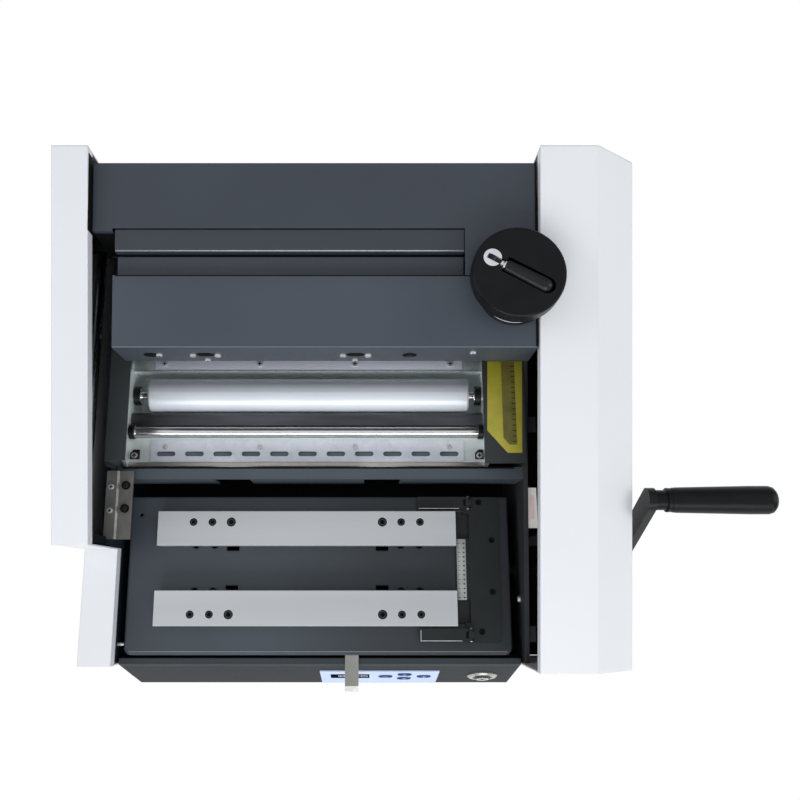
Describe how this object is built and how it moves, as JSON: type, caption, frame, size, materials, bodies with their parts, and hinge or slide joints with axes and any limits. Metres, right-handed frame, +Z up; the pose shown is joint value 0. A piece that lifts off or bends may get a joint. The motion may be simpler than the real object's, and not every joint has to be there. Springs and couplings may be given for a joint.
{
  "type": "perfect binding machine",
  "caption": "Desk-top perfect binder with a sliding clamp carriage and crank wheel, glue roller tank, and a nipping table whose bars close with a side lever.",
  "frame": {"origin": "middle of the bounding box in X and Y, on the table under the feet", "axes": "+X to the lever side, +Y to the rear, +Z up"},
  "size_m": [0.7316, 0.5433, 0.3467],
  "materials": {
    "casing_white": "satin",
    "body_grey": "satin",
    "dark_steel": "satin",
    "zinc": "satin",
    "steel": "bright",
    "aluminium": "satin",
    "bright": "polished",
    "nickel": "satin",
    "black_plastic": "satin",
    "rubber_black": "matte",
    "label_blue": "satin",
    "display": "gloss",
    "key_blue": "satin"
  },
  "bodies": {
    "base": {"base_plate": "zinc", "rubber_feet": "rubber_black", "left_side_wall": "dark_steel", "right_side_wall": "dark_steel", "left_base_cover": "casing_white", "left_upper_cover": "casing_white", "right_cover": "casing_white", "rear_panel": "body_grey", "power_inlet": "black_plastic", "front_panel": "body_grey", "control_plate": "label_blue", "display_window": "display", "switch_bezel": "bright", "cross_beam": "body_grey", "left_shelf": "body_grey", "right_shelf": "body_grey", "left_bracket": "nickel", "glue_pan": "zinc", "pan_front_plate": "zinc", "pan_end_plates": "zinc", "glue_scraper": "zinc", "gear_motor": "steel", "guide_rods": "steel", "rod_supports": "aluminium", "shaft_bearings": "zinc", "slot_plates": "zinc", "table_posts": "steel"},
    "carriage": {"carriage_cover": "body_grey", "carriage_plate": "zinc", "carriage_bearings": "aluminium", "rear_jaw": "body_grey", "jaw_beam": "dark_steel", "jaw_guide_rods": "steel"},
    "clamp_jaw": {"front_jaw": "body_grey"},
    "screw": {"clamp_screw": "steel"},
    "wheel": {"handwheel": "black_plastic", "handle_clevis": "bright", "wheel_shaft": "steel"},
    "crank_handle": {"folding_handle": "black_plastic"},
    "lever": {"cam_shaft": "steel", "lever_arm": "dark_steel", "lever_grip": "black_plastic"},
    "press_table": {"press_tray": "body_grey", "side_guide": "dark_steel", "front_strip": "nickel"},
    "front_bar": {"front_nip_bar": "aluminium"},
    "rear_bar": {"rear_nip_bar": "aluminium"},
    "front_finger": {"front_clip": "dark_steel"},
    "rear_finger": {"rear_clip": "dark_steel"},
    "roller": {"glue_roller": "aluminium", "roller_shaft": "steel"},
    "doctor_rod": {"rod_roller": "steel"},
    "glue_drive": {"motor_pinion": "steel"},
    "milling_slide": {"cutter_slide": "aluminium"},
    "milling_head": {"cutter_disc": "steel"},
    "left_key": {"key_left": "key_blue"},
    "up_key": {"key_up": "key_blue"},
    "down_key": {"key_down": "key_blue"},
    "right_key": {"key_right": "key_blue"},
    "lock_plug": {"switch_plug": "bright"}
  },
  "joints": [
    {"name": "carriage_slide", "type": "slide", "parent": "base", "child": "carriage", "axis": [0, -1, 0], "range_m": [0, 0.3075]},
    {"name": "wheel_spin", "type": "hinge", "parent": "carriage", "child": "wheel", "pos_m": [0.09375, 0.13775, 0.343], "axis": [0, 0, 1], "range_deg": [0, 1440.01]},
    {"name": "screw_spin", "type": "hinge", "parent": "carriage", "child": "screw", "pos_m": [0.09375, 0.18775, 0.255], "axis": [0, 1, 0], "range_deg": [-1440.01, 0]},
    {"name": "jaw_slide", "type": "slide", "parent": "carriage", "child": "clamp_jaw", "axis": [0, -1, 0], "range_m": [0, 0.04]},
    {"name": "handle_fold", "type": "hinge", "parent": "wheel", "child": "crank_handle", "pos_m": [0.06836, 0.15177, 0.339], "axis": [-0.4833, -0.8755, 0], "range_deg": [0, 90]},
    {"name": "lever_turn", "type": "hinge", "parent": "base", "child": "lever", "pos_m": [0.23725, -0.13625, 0.085], "axis": [1, 0, 0], "range_deg": [0, 75]},
    {"name": "table_lift", "type": "slide", "parent": "base", "child": "press_table", "axis": [0, 0, 1], "range_m": [0, 0.024]},
    {"name": "front_bar_slide", "type": "slide", "parent": "press_table", "child": "front_bar", "axis": [0, 1, 0], "range_m": [0, 0.024]},
    {"name": "rear_bar_slide", "type": "slide", "parent": "press_table", "child": "rear_bar", "axis": [0, -1, 0], "range_m": [0, 0.024]},
    {"name": "front_finger_hinge", "type": "hinge", "parent": "press_table", "child": "front_finger", "pos_m": [0.06375, -0.209, 0.1336], "axis": [0, 1, 0], "range_deg": [0, 60]},
    {"name": "rear_finger_hinge", "type": "hinge", "parent": "press_table", "child": "rear_finger", "pos_m": [0.06375, -0.063, 0.1336], "axis": [0, 1, 0], "range_deg": [0, 60]},
    {"name": "roller_spin", "type": "hinge", "parent": "base", "child": "roller", "pos_m": [-0.10475, 0.06375, 0.129], "axis": [1, 0, 0], "continuous": true},
    {"name": "doctor_rod_spin", "type": "hinge", "parent": "base", "child": "doctor_rod", "pos_m": [-0.10475, 0.01799, 0.1435], "axis": [1, 0, 0], "continuous": true},
    {"name": "pinion_spin", "type": "hinge", "parent": "base", "child": "glue_drive", "pos_m": [0.09225, 0.09376, 0.09682], "axis": [1, 0, 0], "continuous": true},
    {"name": "milling_travel", "type": "slide", "parent": "base", "child": "milling_slide", "axis": [1, 0, 0], "range_m": [0, 0.3]},
    {"name": "cutter_spin", "type": "hinge", "parent": "milling_slide", "child": "milling_head", "pos_m": [-0.26275, 0.17125, 0.14], "axis": [0, 0, 1], "continuous": true},
    {"name": "left_key_press", "type": "slide", "parent": "base", "child": "left_key", "axis": [0, 0.961, -0.2765], "range_m": [0, 0.0008], "stiffness_N_per_m": 600},
    {"name": "up_key_press", "type": "slide", "parent": "base", "child": "up_key", "axis": [0, 0.961, -0.2765], "range_m": [0, 0.0008], "stiffness_N_per_m": 600},
    {"name": "down_key_press", "type": "slide", "parent": "base", "child": "down_key", "axis": [0, 0.961, -0.2765], "range_m": [0, 0.0008], "stiffness_N_per_m": 600},
    {"name": "right_key_press", "type": "slide", "parent": "base", "child": "right_key", "axis": [0, 0.961, -0.2765], "range_m": [0, 0.0008], "stiffness_N_per_m": 600},
    {"name": "lock_turn", "type": "hinge", "parent": "base", "child": "lock_plug", "pos_m": [0.08385, -0.25848, 0.06211], "axis": [0, -0.961, 0.2765], "range_deg": [-90, 0]}
  ],
  "couplings": [
    {"joint": "wheel_spin", "follows": "jaw_slide", "rad_per_m": 628.32},
    {"joint": "screw_spin", "follows": "jaw_slide", "rad_per_m": -628.32},
    {"joint": "table_lift", "follows": "lever_turn", "m_per_rad": 0.018335},
    {"joint": "front_bar_slide", "follows": "lever_turn", "m_per_rad": 0.018335},
    {"joint": "rear_bar_slide", "follows": "lever_turn", "m_per_rad": 0.018335},
    {"joint": "doctor_rod_spin", "follows": "roller_spin", "ratio": -2},
    {"joint": "pinion_spin", "follows": "roller_spin", "ratio": -2.6667}
  ]
}
